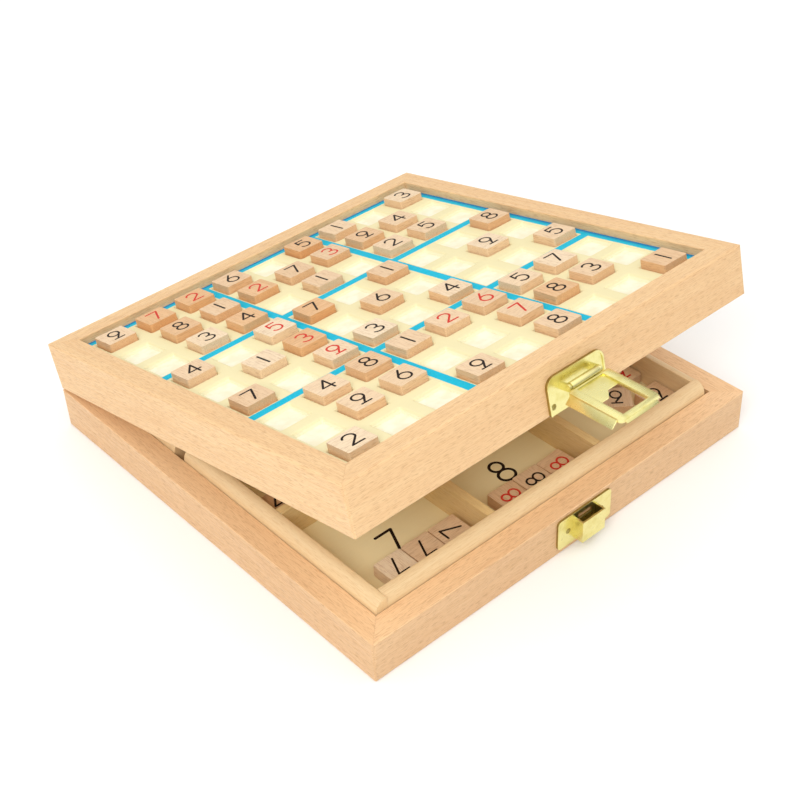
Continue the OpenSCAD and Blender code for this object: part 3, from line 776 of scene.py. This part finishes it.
def ink_finish(name, thick, thin):
    """An ink that thins out over the fibres of the wood."""
    material, tree, shader = finish(name)
    ink = apply(tree, wear, {"Place": carried(tree, "grain"), "Thick": thick, "Thin": thin})
    tint(tree, shader, ink["Color"], ink["Roughness"])
    shader.inputs["Specular IOR Level"].default_value = 0.12
    bump(tree, shader, ink["Height"], 0.15, 0.03)
    return material


black_ink = ink_finish("black ink", (0.012, 0.006, 0.004), (0.060, 0.030, 0.018))
red_ink = ink_finish("red ink", (0.62, 0.035, 0.024), (0.72, 0.13, 0.075))
print("inks", black_ink.name, "and", red_ink.name)

# %% Mix the tile wood
TONE_MARKS = (0.0, 0.45, 0.8, 1.0)


def tone_ramp(tree, tone, colours):
    """A row of colours from the palest tile to the most tanned one."""
    node = tree.nodes.new("ShaderNodeValToRGB")
    feed(tree, node.inputs[0], tone)
    stops = node.color_ramp.elements
    while len(stops) < len(colours):
        stops.new(0.5)
    for stop, mark, colour in zip(stops, TONE_MARKS, colours):
        stop.position = mark
        stop.color = (*colour, 1.0)
    return node.outputs[0]


tile_wood, tree, shader = finish("tile wood")
hue = carried(tree, "tone", "Fac")
pale = tone_ramp(tree, hue, (
    (0.87, 0.72, 0.52), (0.85, 0.64, 0.43), (0.80, 0.58, 0.37), (0.80, 0.49, 0.25)))
deep = tone_ramp(tree, hue, (
    (0.82, 0.64, 0.43), (0.78, 0.56, 0.34), (0.72, 0.48, 0.28), (0.68, 0.38, 0.17)))
wood = apply(tree, figure, {"Place": carried(tree, "grain"), "Pale": pale, "Deep": deep,
                            "Fleck": (0.42, 0.21, 0.09), "Fleck Amount": 0.35})
# darker sides: partly the saw cut, partly painted shade
sawn_and_shaded_colour = blend(tree, 1.0, wood["Color"], (0.93, 0.76, 0.62), "MULTIPLY")
tile_colour = blend(tree, carried(tree, "sawn_and_shade", "Fac"), wood["Color"], sawn_and_shaded_colour)
tint(tree, shader, tile_colour, wood["Roughness"])
bump(tree, shader, wood["Height"], 0.4, WOOD_RELIEF)
print("tile tones at", TONE_MARKS)

# %% [markdown]
# Number tiles
# A tile is a small square block with softly broken edges. Its solid says where it lies and how it
# is turned, so the script looks for the separate blocks in each solid, takes the middle of each and
# the direction of its largest side, and lays a fresh block with rounded edges and its numeral
# there. The tone and the plank of each tile are drawn from a seeded generator, so every run gives
# the same box of tiles.

# %% Find the tiles in a solid
NAMES = ("ones", "twos", "threes", "fours", "fives", "sixes", "sevens", "eights", "nines")
UPRIGHT_WITHIN = 0.1
ROW_DEPTH = 8


def tile_places(node, back):
    """Middle, foot and turn of each block in a solid, in millimetres and degrees."""
    mesh = solid_copy(node)
    turn = back.to_3x3()
    left, places = set(mesh.verts), []
    while left:
        block, edge = set(), [next(v for v in mesh.verts if v in left)]
        while edge:
            v = edge.pop()
            if v not in block:
                block.add(v)
                edge += [e.other_vert(v) for e in v.link_edges]
        left -= block
        points = [(back @ v.co) / MM for v in mesh.verts if v in block]
        middle = sum(points, Vector()) / len(points)
        sides = [f for f in mesh.faces
                 if f.verts[0] in block and abs((turn @ f.normal).z) < UPRIGHT_WITHIN]
        normal = turn @ max(sides, key=lambda f: f.calc_area()).normal
        turned = (math.degrees(math.atan2(normal.y, normal.x)) + 45) % 90 - 45
        places.append((middle.x, middle.y, min(p.z for p in points), turned))
    mesh.free()
    return sorted(places, key=lambda p: (round(p[1] / ROW_DEPTH), p[0]))


found = {node: tile_places(node, lid_shut if node.startswith("board") else base_rest)
         for node in nodes if node.split("_")[-1] in NAMES}
print("tiles found", sum(len(p) for p in found.values()))

# %% Shape one tile
EDGE = 0.28
EDGE_MIDDLE = EDGE * 0.3
TILE_RINGS = [
    (EDGE, 0.0), (EDGE_MIDDLE, EDGE_MIDDLE), (0.0, EDGE),
    (0.0, TILE_THICK - EDGE), (EDGE_MIDDLE, TILE_THICK - EDGE_MIDDLE), (EDGE, TILE_THICK),
]


def lay_tile(mesh, to_place, paint):
    """Lays the wooden block of a tile, from its foot to its top."""
    loops = []
    for inset, height in TILE_RINGS:
        outline = round_square(TILE_SIDE - 2 * inset, TILE_CORNER - inset * 0.6, steps=4)
        loops.append([mesh.verts.new(to_place(p.x, p.y, height))
                      for corner in outline for p in corner])
    faces = [mesh.faces.new(list(reversed(loops[0]))), mesh.faces.new(loops[-1])]
    for lower, upper in zip(loops, loops[1:]):
        for k, after in around(len(lower)):
            faces.append(mesh.faces.new((lower[k], lower[after], upper[after], upper[k])))
    paint([v for loop in loops for v in loop], faces)


print("a tile has", len(TILE_RINGS), "rings")

# %% Make the sets of tiles
BLACK, RED = 1, 2
RED_CELLS = {(-3, 4), (-2, 4), (-1, 3), (1, 3), (-2, 1), (-2, 0), (-2, -1), (0, -2), (1, -2),
             (1, -3)}
# Turn in degrees and ink of each loose tile that shows
LOOSE_TILES = {
    7: [(180, BLACK), (180, BLACK), (90, BLACK)],
    8: [(90, RED), (90, BLACK), (90, RED), (0, BLACK)],
    9: [(0, BLACK), (-40, BLACK), (0, RED)],
}
TILE_NUMERAL, TILE_STROKE = 9.0, 0.95
draw = random.Random(9)


def make_set(node, digit, on_lid):
    """One set of tiles with the same numeral."""
    rest = lid_rest if on_lid else base_rest
    hidden = [(90 * k, (BLACK, RED)[(k + digit) % 2]) for k in range(5)]
    mesh = bmesh.new()
    grain = mesh.verts.layers.float_vector.new("grain")
    tone = mesh.verts.layers.float.new("tone")
    sawn_and_shade = mesh.verts.layers.float.new("sawn_and_shade")
    for order, (x, y, foot, turned) in enumerate(found[node]):
        if on_lid:
            ink = RED if (round(x / pitch), round(y / pitch)) in RED_CELLS else BLACK
        else:
            wanted, ink = LOOSE_TILES.get(digit, hidden)[order]
            turned += 90 * round((wanted - turned) / 90)
        stand = Matrix.Translation((x, y, foot)) @ Matrix.Rotation(math.radians(turned), 4, "Z")
        plank = Vector((draw.uniform(0, 4000), draw.uniform(0, 900), draw.uniform(0, 900)))
        shade = draw.random()
        along = "Y" if draw.random() < 0.5 else "X"
        # how much the sides darken, partly saw burn and partly painted shade
        saw_burn_and_shade = draw.uniform(0.3, 1.0)
        from_rest = (rest @ Matrix.Scale(MM, 4) @ stand).inverted()

        def painter(index):
            def paint(vertices, faces):
                for v in vertices:
                    p = from_rest @ v.co
                    v[grain] = plank + along_grain(p, along)
                    v[tone] = shade
                    v[sawn_and_shade] = saw_burn_and_shade if p.z < TILE_THICK - EDGE / 2 else 0.0
                for face in faces:
                    face.material_index = index
            return paint

        def put(px, py, pz):
            return rest @ ((stand @ Vector((px, py, pz))) * MM)

        def put_on_top(px, py, lift):
            return put(px, py, TILE_THICK + lift)

        lay_tile(mesh, put, painter(0))
        lay_numeral(mesh, digit, put_on_top, TILE_NUMERAL, TILE_STROKE, painter(ink))
    finishes = [tile_wood, black_ink, red_ink]
    return dress(f"{node}_tiles", mesh, finishes, node, [node], smooth=40.0)


sets = [make_set(f"{where}_{name}", digit, where == "board")
        for where in ("board", "tray") for digit, name in enumerate(NAMES, 1)]
print("sets of tiles", len(sets))

# %% [markdown]
# Floor of the tray
# Under the compartments lies a beige board with a large numeral printed in the middle of each, so
# that the tiles find their way home. It is the solid's own slab with a fibrous paper finish, and
# the numerals are the same strokes as on the tiles, half as large again, laid on the slab in a
# second material. The sheet was cut a little off its print, so all numerals sit about two
# millimetres to the front right.

# %% Mix the tray paper
tray_paper, tree, shader = finish("beige tray paper")
on_floor = carried(tree, "grain")
fibres = grained(tree, on_floor, 0.25, 1.6, 4.0, 0.6)
blotch = sums(tree, "MULTIPLY", cloud(tree, on_floor, 0.03, 2.0), 0.4)
paper_colour = blend(tree, fibres, (0.96, 0.85, 0.52), (0.92, 0.79, 0.45))
paper_colour = blend(tree, blotch, paper_colour, (0.97, 0.87, 0.56))
tint(tree, shader, paper_colour, span(tree, fibres, 0.2, 0.8, 0.5, 0.7))
bump(tree, shader, fibres, 0.2, 0.05)
print("tray paper with", len(tree.nodes), "nodes")

# %% Make the printed floor
DIVIDER = 4.0
PRINT_OFF = (2.2, -1.8)
FLOOR_NUMERAL, FLOOR_STROKE = 13.8, 1.35
floor_low, floor_high = shut_box("floor_board", base_rest)
bay = (floor_high[0] - floor_low[0] - 2 * DIVIDER) / 3 + DIVIDER
mesh = solid_copy("floor_board")


def paint_floor(vertices, faces):
    """Gives the printed strokes the second material."""
    for face in faces:
        face.material_index = 1


for digit in STROKES:
    bay_x = ((digit - 1) % 3 - 1) * bay + PRINT_OFF[0]
    bay_y = (1 - (digit - 1) // 3) * bay + PRINT_OFF[1]

    def on_tray(px, py, lift):
        return Vector((bay_x + px, bay_y + py, floor_high[2] + lift)) * MM

    lay_numeral(mesh, digit, on_tray, FLOOR_NUMERAL, FLOOR_STROKE, paint_floor)
write_grain(mesh, base_rest, "X", (0, 0, 0))
dress("tray_floor", mesh, [tray_paper, black_ink], "base", ["floor_board"])
print("compartments", round(bay - DIVIDER, 2), "mm wide")

# %% [markdown]
# Brass
# The latch, its keeper, the hinges and their nails are thin stamped brass, bright and slightly
# greenish where it is plated. Metal gets nearly all of its look from what it mirrors, so the finish
# is a clean metal with a satin roughness that varies along the brush marks and a faint tarnish that
# gathers in large soft spots. A relief would only crumple the mirror images, so there is none. The
# nails and the cut edges of the two plates get a darker brass, which draws a line round the bright
# plates, and the inside of the keeper's pocket gets it as painted shade; both tones come from one
# node group.

# %% Mix the brass
patina, given, made = effect(
    "brushed and tarnished", {"Place": "Vector", "Clean": "Color", "Dull": "Color"},
    {"Color": "Color", "Roughness": "Float"})
brushed = grained(patina, given["Place"], 0.3, 4.0)
tarnish = span(patina, cloud(patina, given["Place"], 0.22, 3.0), 0.45, 0.75)
satin = span(patina, brushed, 0.2, 0.8, 0.25, 0.33)
feed(patina, made["Color"], blend(patina, tarnish, given["Clean"], given["Dull"]))
duller = sums(patina, "MULTIPLY", tarnish, 0.06)
feed(patina, made["Roughness"], sums(patina, "ADD", satin, duller))


def brass_finish(name, clean, dull):
    """A metal with brush marks and spots of tarnish."""
    material, tree, shader = finish(name)
    metal = apply(tree, patina, {"Place": carried(tree, "grain"), "Clean": clean, "Dull": dull})
    tint(tree, shader, metal["Color"], metal["Roughness"])
    shader.inputs["Metallic"].default_value = 1.0
    return material


brass = brass_finish("plated brass", (0.86, 0.79, 0.36), (0.77, 0.69, 0.26))
# darker brass for the nails and cut edges, and painted shade in the keeper's pocket
dark_brass_and_shade = brass_finish("dark brass and painted shade", (0.46, 0.38, 0.13), (0.34, 0.27, 0.09))
print("metals share", patina.name)

# %% Seams, cut edges and the pocket
ON_SEAM, SEAM_GAP, KNUCKLE = 0.01 * MM, 0.05 * MM, 1.4 * MM
CUT_EDGE, SIDEWAYS = 1.0 * MM, 0.8
HOOK_STANDS, HOOK_WALL = 2.0 * MM, 0.3 * MM
wood_front = shut_box("base_front_rail", base_rest)[0][1] * MM


def draw_back(mesh, back, way):
    """Draws the edge of a hinge leaf back from the seam, so that shut leaves don't rub."""
    for v in mesh.verts:
        p = back @ v.co
        if abs(p.z - hinge_at.z) < ON_SEAM and p.y < hinge_at.y - KNUCKLE:
            v.co = back.inverted() @ (p + Vector((0, 0, way * SEAM_GAP)))


def darken_cut_edges(mesh, back):
    """Gives the cut edge of a plate, which lies close to the wood, the second material."""
    for face in mesh.faces:
        edgewise = abs((back.to_3x3() @ face.normal).y) < SIDEWAYS
        close = (back @ face.calc_center_median()).y > wood_front - CUT_EDGE
        face.material_index = 1 if edgewise and close else 0


def paint_pocket_shade(mesh):
    """Gives the faces between the side walls of the keeper's hook the second material, as painted
    shade.
    """
    across = [v.co.x for v in mesh.verts if v.co.y < wood_front - HOOK_STANDS]
    low, high = min(across) + HOOK_WALL, max(across) - HOOK_WALL
    for face in mesh.faces:
        if all(low < v.co.x < high for v in face.verts):
            face.material_index = 1


print("wood ends at the front at", round(wood_front, 4))

# %% Make the brass parts
PRESSED = ("keeper", "latch_plate", "hasp")
SEAMS = {"hinge_base_leaves": -1, "hinge_lid_leaves": 1}
BRASS_EASE = {
    "keeper": 0.18, "latch_plate": 0.15, "latch_pin": 0.15, "hinge_base_leaves": 0.0,
    "hinge_lid_leaves": 0.0, "hinge_pins": 0.15, "keeper_nails": 0.06, "latch_nails": 0.06,
    "hinge_base_screws": 0.06, "hinge_lid_screws": 0.06, "hasp": 0.25,
}
metal = []
for node, width in BRASS_EASE.items():
    body = nodes[node]["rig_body"]
    mesh = solid_copy(node, join=width > 0)
    back = base_rest if body == "base" else lid_shut
    if width:
        ease(mesh, width, measure="WIDTH" if node in PRESSED else "OFFSET")
    if node in SEAMS:
        draw_back(mesh, back, SEAMS[node])
    if node in ("keeper", "latch_plate"):
        darken_cut_edges(mesh, back)
    # painted shade: the keeper's pocket gets the dark brass
    if node == "keeper":
        paint_pocket_shade(mesh)
    write_grain(mesh, back, "X", (17 * len(metal), 0, 0))
    finishes = [dark_brass_and_shade] if node.endswith(("nails", "screws")) else [brass, dark_brass_and_shade]
    metal.append(dress(f"{node}_brass", mesh, finishes, body, [node], smooth=35.0,
                       flat=node != "hasp"))
print("brass parts", len(metal))
